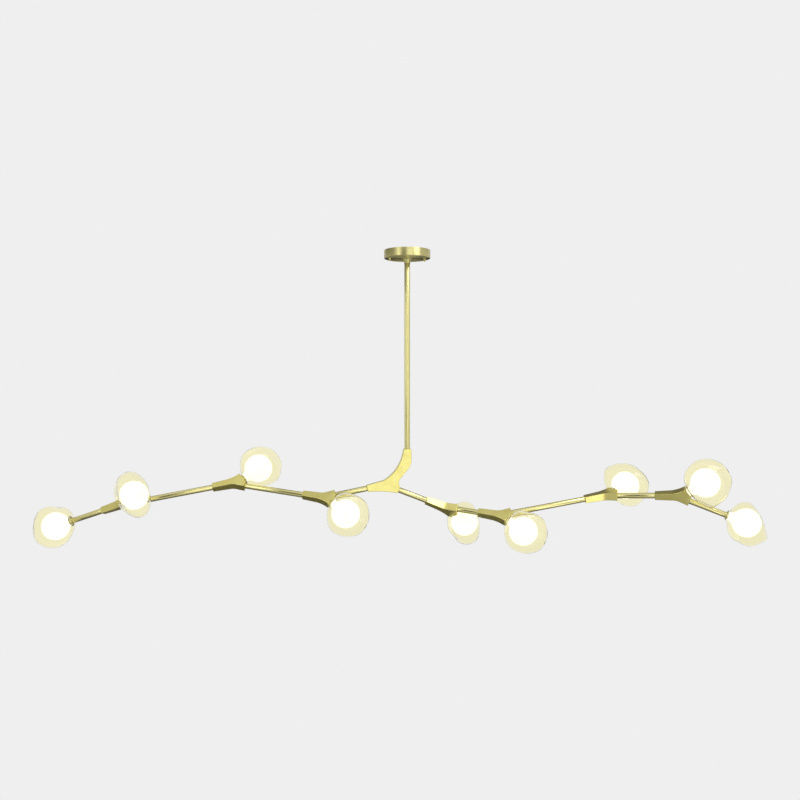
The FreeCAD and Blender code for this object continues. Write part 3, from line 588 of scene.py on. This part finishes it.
def fork_casting(name, screw_side):
    """The finished fork, with its screw holes in its +Y or -Y face."""
    piece = plate(name, fork_outline(), FORK_THICKNESS)
    slope = math.atan2(FORK_THICKNESS / 2 - SMALL_END, TAPER_LENGTH)
    for side in (-1, 1):
        pick(piece, "VERT", lambda vertex: True)
        bpy.ops.mesh.bisect(
            plane_co=(TAPER_LENGTH, side * FORK_THICKNESS / 2, 0),
            plane_no=(-math.sin(slope), side * math.cos(slope), 0),
            clear_outer=True, use_fill=True)
        bpy.ops.object.mode_set(mode="OBJECT")
    outwards(piece)
    bevel(piece, RIM_BEVEL, 3, 40)
    spigot_end = face + neck * SPIGOT_HEIGHT
    combine(piece, rod(face - neck * MM, spigot_end, SPIGOT_RADIUS), "UNION")
    bore(piece, Vector((0, 0, 0)), X, SOCKET_RADIUS, SOCKET_DEPTH)
    bore(piece, rod_end, -rod_way, SOCKET_RADIUS, SOCKET_DEPTH)
    bore(piece, spigot_end, -neck, LAMP_SEAT_RADIUS, LAMP_SEAT_DEPTH, chamfer=0)
    for spot in screw_spots:
        drill = rod(spot, spot + Y * screw_side * 20 * MM, SCREW_HOLE_RADIUS, 32)
        combine(piece, drill, "DIFFERENCE")
    smooth(piece)
    modify(piece, "WEIGHTED_NORMAL", keep_sharp=True)
    return piece

fork_masters = {side: fork_casting(f"fork_master_{side}", side) for side in (-1, 1)}
print("fork faces:", len(fork_masters[1].data.polygons))

# %% [markdown]
# ## Grub screws, and the forks in place
# A grub screw is a headless screw with a hexagon recess, and two of them hold each fork's tubes. A
# dot of dark material could stand for one, but not close up. So it is turned as a short bar with
# chamfered ends, and a six-sided bore gives the recess.

# %% Grub screws and the forks in place
def grub_screw(low, high):
    """A screw of 4 mm between two heights on its own Z axis, with its recess at the top."""
    profile = [(0, low), (1.6, low), (1.95, low + 0.4), (1.95, high - 0.3), (1.65, high), (0, high)]
    piece = turned("screw_master", profile, 24)
    recess = rod(Z * (high - 1.6) * MM, Z * (high + 1) * MM, 1.15 * MM, 6)
    combine(piece, recess, "DIFFERENCE")
    smooth(piece, 30)
    return piece

screw_master = grub_screw(8.4, 11.2)
# The plate is thinner at its small end, so the screw there sits 2.3 mm lower.
screw_lifts = (-2.3 * MM, 0)
for arm in FORKED:
    place = fork_place(arm)[0]
    screw_side = 1 if (place.to_3x3() @ Y).y > 0 else -1
    fork = copy_to(fork_masters[screw_side], f"{arm}_forked_casting", place)
    hand_over(fork, arm, CAST_BRASS, [f"{arm}_fork"])
    outside = Y * screw_side
    screws = [
        copy_to(screw_master, "screw", place @ standing(X, outside, spot + outside * lift))
        for spot, lift in zip(screw_spots, screw_lifts)]
    hand_over(joined(screws, f"{arm}_fork_grub_screws"), arm, ZINC)
put_away(screw_master, *fork_masters.values())
print("forks placed:", len(FORKED))

# %% [markdown]
# ## Centre casting
# The centre piece is one flat casting that flows from the stem down to the left and sends a short
# arm to the right. A curved tube would miss its flat front, which catches the light. So it is made
# as the forks are: outline, plate, bevel, bores.

# %% Centre casting
CENTRE_THICKNESS = 21 * MM
STEM_FOOT = -569.5
foot = at(0, STEM_FOOT)

def leaning(degrees):
    """A direction in XZ that leans from Z towards X."""
    return Vector((math.sin(math.radians(degrees)), 0, math.cos(math.radians(degrees))))

def centre_outline():
    """From the stem down the outer curve to the left arm, then the right arm, and back up."""
    half_arm, half_stem = 9.5, 11
    left_end, right_end = at(-116, -681), at(-25, -686)
    left_side, right_side = leaning(-11) * half_arm * MM, leaning(21.5) * half_arm * MM
    points = [at(-half_stem, STEM_FOOT)]
    points += arc(points[-1], at(-68, STEM_FOOT - 89), -118 * MM, 24)
    points += [left_end + left_side, left_end - left_side]
    points += arc(points[-1], right_end - right_side, -330 * MM, 14)
    points += [right_end + right_side]
    points += arc(points[-1], at(-21, STEM_FOOT - 85), -18 * MM, 8)
    return points + [at(5, STEM_FOOT - 54), at(half_stem, STEM_FOOT - 38), at(half_stem, STEM_FOOT)]

centre = plate("centre_piece", centre_outline(), CENTRE_THICKNESS)
bevel(centre, RIM_BEVEL, 3, 40)
bore(centre, foot, -Z, SOCKET_RADIUS, STEM_SOCKET_DEPTH)
centre_spots = [foot - Z * 11 * MM]
for arm in ("left_1", "right_1"):
    mouth, along = start_of(arm)
    bore(centre, mouth, -along, SOCKET_RADIUS, SOCKET_DEPTH)
    centre_spots.append(mouth - along * SCREW_INSET)
for spot in centre_spots:
    combine(centre, rod(spot, spot + Y * 20 * MM, SCREW_HOLE_RADIUS, 32), "DIFFERENCE")
smooth(centre)
modify(centre, "WEIGHTED_NORMAL", keep_sharp=True)
hand_over(centre, "stem", CAST_BRASS, ["centre_casting"])

screw_master = grub_screw(8.3, 9.9)
screws = [copy_to(screw_master, "screw", standing(X, Y, spot)) for spot in centre_spots]
hand_over(joined(screws, "centre_piece_grub_screws"), "stem", ZINC,
          ["centre_grub_screws"])
put_away(screw_master)
print("centre piece faces:", len(centre.data.polygons))

# %% [markdown]
# ## Tubes
# The arms and the stem are drawn tube, cut to length and deburred. A plain cylinder would look
# right until a branch is taken off. So both caps are inset and bridged through, which leaves a
# wall, and a small bevel gives the deburred ends. Each tube is made upright, where its UV map
# runs round and along it, and is then laid in its place.

# %% Tubes
def tube(name, start, end):
    """A hollow tube between two points."""
    along = end - start
    bpy.ops.object.select_all(action="DESELECT")
    bpy.ops.mesh.primitive_cylinder_add(vertices=48, radius=TUBE_RADIUS, depth=along.length)
    piece = bpy.context.object
    piece.name = name
    pick(piece, "FACE", lambda side: abs(side.normal.z) > 0.9)
    bpy.ops.mesh.inset(thickness=TUBE_WALL, use_individual=True)
    bpy.ops.mesh.bridge_edge_loops()
    bpy.ops.object.mode_set(mode="OBJECT")
    bevel(piece, 0.25 * MM, 2, 60)
    smooth(piece, 40)
    turn = along.to_track_quat("Z", "Y").to_matrix().to_4x4()
    piece.matrix_world = Matrix.Translation((start + end) / 2) @ turn
    alone(piece)
    bpy.ops.object.transform_apply(location=True, rotation=True, scale=True)
    return piece

in_socket = SOCKET_DEPTH - 0.3 * MM
for arm in ARMS:
    origin, along = start_of(arm)
    end = tip_place(arm)[1] if arm in TIP_TUBE else fork_place(arm)[1] + along * SOCKET_DEPTH
    piece = tube(f"{arm}_brass_tube", origin - along * in_socket, end)
    hand_over(piece, arm, TUBE_BRASS, [f"{arm}_tube"])
    print(arm, "tube:", round((end - origin).length / MM + in_socket / MM, 1), "mm")
stem = tube("stem_brass_tube", -Z * 16 * MM, foot - Z * STEM_SOCKET_DEPTH)
hand_over(stem, "stem", TUBE_BRASS, ["stem_tube"])

# %% [markdown]
# ## Flared tips
# At both ends of the branch sits a turned trumpet: a neck that slips into the tube, a flare, and
# the spigot that holds the lamp. A cone would give a straight flare. The real one is hollow in
# its curve, so a profile with an arc is spun, bore and all.

# %% Flared tips
FLARE_TURN = math.radians(75)
tip_profile = [(4, -22), (6.95, -22), (6.95, -6), (8.05, -6)]
for step in range(1, 9):
    turn = FLARE_TURN * step / 8
    outward = (1 - math.cos(turn)) / (1 - math.cos(FLARE_TURN))
    tip_profile.append((8.05 + 3.95 * outward, -6 + 4.5 * math.sin(turn) / math.sin(FLARE_TURN)))
tip_profile += [
    (12, -0.3), (11.7, 0), (10, 0), (10, 14), (8.8, 14), (8.8, -1.5), (4, -1.5)]
tip_master = turned("tip_master", tip_profile)
smooth(tip_master, 40)
for arm in TIP_TUBE:
    piece = copy_to(tip_master, f"{arm}_flared_tip", tip_place(arm)[0])
    hand_over(piece, arm, SPUN_BRASS, [f"{arm}_end_socket"])
print("tip faces:", len(tip_master.data.polygons))
put_away(tip_master)

# %% [markdown]
# ## Opal globes
# The opal globe is blown with a short neck, and the glass flows from one into the other in a
# hollow curve, like a pear. A ready-made sphere has a pole where the neck should be. So the outer
# skin is drawn as half a profile from the neck to the pole, the inner skin comes back to the
# neck, and both are spun together.

# %% Opal globes
def skin(radius, neck_radius, low, centre, flow, steps):
    """Half a round skin: up the neck, over a hollow curve into the globe, to the pole."""
    across = neck_radius + flow
    drop = math.sqrt((radius + flow) ** 2 - across ** 2)
    end = math.atan2(drop, across)
    points = [(neck_radius, low)]
    for step in range(9):
        turn = end * step / 8
        points.append((across - flow * math.cos(turn), centre - drop + flow * math.sin(turn)))
    first = math.pi / 2 - end
    for step in range(1, steps + 1):
        turn = first + (math.pi - first) * step / steps
        points.append((max(radius * math.sin(turn), 0), centre - radius * math.cos(turn)))
    return points

NECK_FLOW = 24
globe_centre = GLOBE_DISTANCE / MM
outer = skin(39.5, 11.5, 2, globe_centre, NECK_FLOW, 40)
inner = skin(37.5, 10.1, 2, globe_centre, NECK_FLOW, 40)
opal_master = turned("opal_master", outer + inner[::-1], 72)
smooth(opal_master, 50)
for arm in ARMS:
    piece = copy_to(opal_master, f"{arm}_opal_globe", globe_place(arm))
    hand_over(piece, arm, OPAL, [f"{arm}_opal"])
print("opal globe faces:", len(opal_master.data.polygons))
put_away(opal_master)

# %% [markdown]
# ## Sections of the blown envelope
# The envelope is flattened while soft, so no two sections of it are alike. A squeezed sphere
# would be too even. A few sections, each with its own width, depth, turn and shift, describe the
# lopsided form, with a smooth curve through them. The mesh then grows as the hot glass does: a
# ring at the mouth is extruded, stretched and turned ring by ring up to the tip.

# %% Sections of the blown envelope
LENGTH, HALF_WIDTH, HALF_DEPTH, NECK_RADIUS = 122.5, 68, 47, 14.5
NECK = (NECK_RADIUS / HALF_WIDTH, NECK_RADIUS / HALF_DEPTH)
# Share of the length, of the half width and half depth, turn in degrees, and shift in mm.
SECTIONS = [
    (0.0, *NECK, 24, 0, 0), (0.0408, *NECK, 24, 0, 0), (0.085, 0.47, 0.51, 24, 1.5, 1.0),
    (0.15, 0.71, 0.76, 28, 4.0, 2.0), (0.26, 0.92, 0.91, 27, 6.0, 0.5),
    (0.40, 1.00, 0.98, 25, 4.0, -1.0), (0.54, 0.98, 1.00, 18, 0.5, 4.5),
    (0.70, 0.86, 0.90, 6, -1.0, 11.5), (0.83, 0.68, 0.58, 1, -1.0, 14.0),
    (0.925, 0.48, 0.29, 1, -1.0, 16.5), (0.975, 0.28, 0.15, 1, -1.0, 18.0),
    (1.0, 0.0, 0.0, 1, -1.0, 18.0),
]

def flowing(p, q, r, s, t):
    """A value between q and r on a smooth curve, whose slopes also look to p and s."""
    return 0.5 * (
        2 * q + (r - p) * t + (2 * p - 5 * q + 4 * r - s) * t ** 2
        + (3 * q - p - 3 * r + s) * t ** 3)

def between(sections, steps):
    """Rings along a smooth curve through the sections."""
    rows = []
    for index in range(len(sections) - 1):
        before, start = sections[max(index - 1, 0)], sections[index]
        end, after = sections[index + 1], sections[min(index + 2, len(sections) - 1)]
        for step in range(steps):
            rows.append([
                flowing(*four, step / steps) for four in zip(before, start, end, after)])
    return rows

print("rings:", len(between(SECTIONS, 3)))

# %% Pull the envelope
def envelope(name):
    """The outer skin, pulled ring by ring from the mouth to the tip."""
    rows = between(SECTIONS, 3)
    centres = [Vector((row[4], row[5], row[0] * LENGTH)) * MM for row in rows]
    bpy.ops.object.select_all(action="DESELECT")
    bpy.ops.mesh.primitive_circle_add(vertices=64, radius=NECK_RADIUS * MM)
    piece = bpy.context.object
    piece.name = name
    pick(piece, "VERT", lambda vertex: True)
    for index in range(1, len(rows)):
        before, row, centre = rows[index - 1], rows[index], centres[index]
        old_turn, new_turn = math.radians(before[3]), math.radians(row[3])
        step = centre - centres[index - 1]
        bpy.ops.mesh.extrude_region_move(TRANSFORM_OT_translate={"value": step})
        bpy.ops.transform.resize(
            value=(row[1] / before[1], row[2] / before[2], 1), center_override=centre,
            orient_matrix=Matrix.Rotation(old_turn, 3, "Z"), orient_matrix_type="GLOBAL")
        # With no window this operator turns clockwise for a positive value.
        bpy.ops.transform.rotate(
            value=old_turn - new_turn, orient_axis="Z", center_override=centre)
    tip = Vector((SECTIONS[-1][4], SECTIONS[-1][5], LENGTH)) * MM
    bpy.ops.mesh.extrude_region_move(TRANSFORM_OT_translate={"value": tip - centres[-1]})
    bpy.ops.mesh.merge(type="CENTER")
    outwards(piece)
    return piece

glass_master = envelope("glass_master")
print("envelope faces before its wall:", len(glass_master.data.polygons))

# %% [markdown]
# ## Dents, wall and place
# Every glass comes out a little different. Nine shapes made by hand would be long work. Here each
# copy is turned about its neck as in the photograph, and soft clouds that stand still in the room
# push dents of its own into it. The neck stays round, because it has to fit. The wall is
# thickened inwards last.

# %% Envelopes in place
GLASS_TURN = {
    "left_1": 45, "left_2": 60, "left_3": 260, "left_4": 201,
    "right_1": 226, "right_2": 57, "right_3": 22, "right_4": 151, "right_5": 108,
}
CALM_NECK, DENTS_GROW_OVER = 8, 20
clouds = bpy.data.textures.new("soft_dents", "CLOUDS")
clouds.noise_scale = 45 * MM
clouds.noise_depth = 1
for arm in ARMS:
    place = globe_place(arm)
    turn = Matrix.Rotation(math.radians(GLASS_TURN[arm]), 4, "Z")
    piece = copy_to(glass_master, f"{arm}_blown_envelope", place @ turn)
    belly = piece.vertex_groups.new(name="belly")
    up_the_neck = place.to_3x3() @ Z
    for vertex in piece.data.vertices:
        height = (vertex.co - place.translation).dot(up_the_neck) / MM
        share = min(max((height - CALM_NECK) / DENTS_GROW_OVER, 0), 1)
        belly.add([vertex.index], share, "REPLACE")
    modify(piece, "DISPLACE", texture=clouds, texture_coords="GLOBAL",
           strength=4 * MM, mid_level=0.5, vertex_group="belly")
    modify(piece, "SOLIDIFY", thickness=2 * MM, offset=-1)
    smooth(piece, 60)
    hand_over(piece, arm, GLASS, [f"{arm}_glass"])
put_away(glass_master)
print("envelopes placed:", len(GLASS_TURN))

# %% [markdown]
# ## Canopy, collar and dome nuts
# The canopy is a shallow spun cup with its mouth to the ceiling. Below it a turned collar, flared
# like a trumpet, hides the hole for the stem, and two dome nuts hold the cup up. A bevelled
# cylinder would be a solid block. A profile that is spun has an even wall, the small radius that
# spinning leaves, and the hollow that shows once the canopy is down.

# %% Canopy
def angles(first, last, step):
    """Degrees from first to before last, as radians."""
    return [math.radians(angle) for angle in range(first, last, step)]

canopy_profile = [(10.3, -24), (64.6, -24)]
canopy_profile += [
    (64.6 + 1.4 * math.sin(turn), -24 + 1.4 * (1 - math.cos(turn)))
    for turn in angles(18, 91, 18)]
canopy_profile += [
    (66, -0.9), (65.8, -0.5), (64.7, -0.5), (64.5, -0.8), (64.5, -22.3), (64.3, -22.5),
    (10.3, -22.5)]
NUT_DISTANCE = 50.5 * MM
canopy = turned("canopy_spun_cup", canopy_profile, 128)
for side in (-1, 1):
    spot = X * side * NUT_DISTANCE
    combine(canopy, rod(spot - Z * 30 * MM, spot - Z * 15 * MM, 2.3 * MM, 32), "DIFFERENCE")
smooth(canopy, 30)
hand_over(canopy, "canopy", SPUN_BRASS, ["canopy_cover"])
print("canopy faces:", len(canopy.data.polygons))

# %% Collar and dome nuts
collar_profile = [(8.3, -37.5), (8.7, -37.5)]
collar_profile += [
    (8.9 + 4.0 * (1 - math.cos(turn)), -37.3 + 13.0 * math.sin(turn))
    for turn in angles(0, 91, 10)]
collar_profile += [(12.8, -24), (10.3, -24), (10.3, -19.2), (10.1, -19), (8.3, -19)]
collar = turned("canopy_turned_collar", collar_profile, 96)
smooth(collar, 30)
hand_over(collar, "canopy", SPUN_BRASS, ["canopy_collar"])

nut_profile = [(2.05, 0), (3.3, 0), (3.5, -0.2), (3.5, -4.2), (3.1, -4.45)]
nut_profile += [
    (3.1 * math.cos(turn), -4.45 - 3.05 * math.sin(turn)) for turn in angles(12, 90, 13)]
nut_profile += [(0, -7.5), (0, -5.3), (2.05, -5.3)]
nut_master = turned("nut_master", nut_profile, 32)
smooth(nut_master, 35)
nut_places = [X * side * NUT_DISTANCE - Z * 24 * MM for side in (-1, 1)]
nuts = [copy_to(nut_master, "nut", Matrix.Translation(spot)) for spot in nut_places]
hand_over(joined(nuts, "canopy_dome_nut_pair"), "canopy", SPUN_BRASS,
          ["canopy_dome_nuts"])
put_away(nut_master)
print("collar faces:", len(collar.data.polygons))

# %% [markdown]
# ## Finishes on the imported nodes
# The strap, nipple, nuts and terminal block in the canopy and the lamps in the globes could be
# modelled again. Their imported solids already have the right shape, so they stay and each gets
# its finish.

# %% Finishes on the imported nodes
FINISH = {
    "ceiling_strap": ZINC, "strap_studs": ZINC, "hollow_nipple": ZINC, "nipple_locknuts": ZINC,
    "nipple_end_nut": ZINC, "terminal_block": MOULDED, "earth_screw": SPUN_BRASS,
    "stem_coupling": SPUN_BRASS,
}
FINISH.update({f"{arm}_lamp": CERAMIC for arm in ARMS})
for name, material in FINISH.items():
    node = frame["nodes"][name]
    node.data.materials.clear()
    node.data.materials.append(material)
print("finished nodes:", len(FINISH))

# %% [markdown]
# ## Backdrop and floor
# Behind the lamp is one even pale grey, like a lit paper backdrop. Strong lamps could wash a real
# floor out to that grey, but they would wash out the brass as well. So the floor glows in it only
# to the camera and to rays that metal or glass sends on. To all others it is matt grey paper.

# %% Backdrop and floor
BACKDROP = "EFEFEF"
SEEN_BY = ("Is Camera Ray", "Is Glossy Ray", "Is Transmission Ray")

def ray_mix(material, rays, plain, shown):
    """Shows one shader to the named kinds of ray and another to all others."""
    path = add(material, "ShaderNodeLightPath")
    total = path.outputs[rays[0]]
    for ray in rays[1:]:
        reach = add(material, "ShaderNodeMath", {"operation": "MAXIMUM"})
        feed(material, total, reach.inputs[0])
        feed(material, path.outputs[ray], reach.inputs[1])
        total = reach.outputs["Value"]
    mix = add(material, "ShaderNodeMixShader", Fac=total)
    feed(material, plain, mix.inputs[1])
    feed(material, shown, mix.inputs[2])
    return mix.outputs["Shader"]

def matt_paper(name, colour):
    """Matt paper or card, with its shader and its output."""
    stock = bpy.data.materials.new(name)
    stock.use_nodes = True
    shader = stock.node_tree.nodes["Principled BSDF"]
    shader.inputs["Base Color"].default_value = linear(colour)
    shader.inputs["Roughness"].default_value = 0.9
    return stock, shader, stock.node_tree.nodes["Material Output"]

bpy.ops.object.select_all(action="DESELECT")
bpy.ops.mesh.primitive_plane_add(size=60, location=(0, 0, -2.4))
floor = bpy.context.object
floor.name = "studio_floor"
paper, matt, end = matt_paper("matt_backdrop_paper", "9A9A98")
glow = add(paper, "ShaderNodeEmission", Color=linear(BACKDROP), Strength=1.0)
shown = ray_mix(paper, SEEN_BY, matt.outputs["BSDF"], glow.outputs["Emission"])
feed(paper, shown, end.inputs["Surface"])
floor.data.materials.append(paper)
print("floor", round(-floor.location.z, 1), "m below the ceiling")

# %% [markdown]
# ## World
# The world is the room round the lamp. One even grey would light the brass flat from all sides. A
# ramp, darker below and bright above, is what a studio with a light ceiling gives. Camera,
# reflections and glass see the floor's grey.

# %% World
world = bpy.data.worlds.new("soft_studio")
bpy.context.scene.world = world
world.use_nodes = True
way = add(world, "ShaderNodeTexCoord").outputs["Generated"]
height = add(world, "ShaderNodeSeparateXYZ", Vector=way).outputs["Z"]
level = add(world, "ShaderNodeMapRange", Value=height,
            From_Min=-1.0, From_Max=1.0, To_Min=0.0, To_Max=1.0)
studio = add(world, "ShaderNodeValToRGB", Fac=level.outputs["Result"])
ramp = studio.color_ramp
ramp.elements[0].position, ramp.elements[0].color = 0.25, linear("6E6E6E")
ramp.elements[1].position, ramp.elements[1].color = 0.85, linear("FFFFFF")
ramp.elements.new(0.5).color = linear("B8B8B8")
soft = add(world, "ShaderNodeBackground", Color=studio.outputs["Color"], Strength=0.45)
grey = add(world, "ShaderNodeBackground", Color=linear(BACKDROP), Strength=1.0)
shown = ray_mix(world, SEEN_BY, soft.outputs["Background"], grey.outputs["Background"])
feed(world, shown, world.node_tree.nodes["World Output"].inputs["Surface"])
print("world ramp stops:", len(ramp.elements))

# %% [markdown]
# ## Cards
# In a pale room brass would look like cream paint, so a photographer stands dark cards outside the
# picture, and their reflections draw the dark side of each tube and rim. A darker world would do
# that too, but everywhere at once. The cards cast no shadow, and the sharp rays of clear glass
# pass through them, so that its rims stay pale.

# %% Cards
def card_paper(name, colour):
    """Card stock that only the soft reflections in satin metal see."""
    stock, matt, end = matt_paper(name, colour)
    clear = add(stock, "ShaderNodeBsdfTransparent")
    shown = ray_mix(stock, ("Is Singular Ray",), matt.outputs["BSDF"], clear.outputs["BSDF"])
    feed(stock, shown, end.inputs["Surface"])
    return stock

def aimed(thing, place, aim, front):
    """Stands a thing at a place, with its front towards a spot."""
    thing.location = place
    thing.rotation_euler = (Vector(aim) - Vector(place)).to_track_quat(front, "Y").to_euler()

def card(name, place, aim, width, height, stock):
    """A card beside the set, which faces a spot."""
    bpy.ops.mesh.primitive_plane_add(size=1)
    board = bpy.context.object
    board.name = name
    board.scale = (width, height, 1)
    aimed(board, place, aim, "Z")
    board.visible_camera = board.visible_transmission = False
    board.visible_diffuse = board.visible_shadow = False
    board.data.materials.append(stock)

BLACK_CARD = card_paper("black_card", "3C3B36")
GREY_CARD = card_paper("grey_card", "8C8A82")
branch_middle = (0, 0, -0.6)
card("card_below", (0, 1.0, -2.0), (0, 1.0, 0), 5.5, 3.4, GREY_CARD)
card("card_front", (0, -4.6, 0.0), branch_middle, 9.0, 4.2, BLACK_CARD)
card("card_behind", (0.6, 2.4, 2.2), branch_middle, 6.0, 2.0, GREY_CARD)
card("card_canopy", (0.09, 0.6, -0.12), (0, 0, -0.03), 0.62, 0.5, BLACK_CARD)
card("card_canopy_left", (-0.38, 0.14, 0.16), (0, 0, 0.1), 0.6, 0.3, GREY_CARD)

# %% [markdown]
# ## Lamps
# Point lamps would give hard spots on the metal. Soft boxes give broad bands, and each band on the
# canopy's wall and along the stem is the mirror image of one of them. The big one in front lights
# the flat faces, and weak ones above and below keep the slanted faces from going black.

# %% Lamps
def soft_box(name, place, aim, width, height, power):
    """A rectangular lamp that faces a spot. The camera and the glass see past it."""
    lamp = bpy.data.lights.new(name, "AREA")
    lamp.shape, lamp.size, lamp.size_y, lamp.energy = "RECTANGLE", width, height, power
    box = bpy.data.objects.new(name, lamp)
    bpy.context.scene.collection.objects.link(box)
    aimed(box, place, aim, "-Z")
    box.visible_camera = box.visible_transmission = False

soft_box("front_box", (0.3, -3.5, -0.1), (0, 0, -0.45), 1.95, 3.6, 45)
soft_box("right_box", (2.1, -2.3, -0.2), branch_middle, 1.6, 2.2, 13)
soft_box("key_box", (1.6, -1.7, 1.5), branch_middle, 1.3, 1.3, 31)
soft_box("left_box", (-2.5, -2.1, 0.0), branch_middle, 1.2, 2.0, 18)
soft_box("top_box", (-0.5, -0.6, 1.9), branch_middle, 2.6, 1.4, 4.5)
soft_box("floor_box", (1.2, -1.9, -2.2), branch_middle, 1.2, 1.0, 8)
print("lamps:", [light.name for light in bpy.data.lights])

# %% [markdown]
# ## Camera
# The camera could be moved until the picture looks right. Its place was worked out instead: the
# canopy's ellipse shows how far below it the lens is, and the sizes of near and far globes show
# how far away it stands. It is level and turned 8 degrees.

# %% Camera
lens = bpy.data.cameras.new("photo_view")
lens.sensor_width, lens.lens = 36, 41.175
camera = bpy.data.objects.new("photo_view", lens)
bpy.context.scene.collection.objects.link(camera)
camera.location = (-0.3855, -2.5946, -0.4292)
camera.rotation_euler = (math.radians(90), 0, math.radians(-8))
bpy.context.scene.camera = camera
bpy.context.scene.view_settings.view_transform = "Standard"
print("camera", round(math.hypot(*camera.location.xy), 2), "m from the stem")
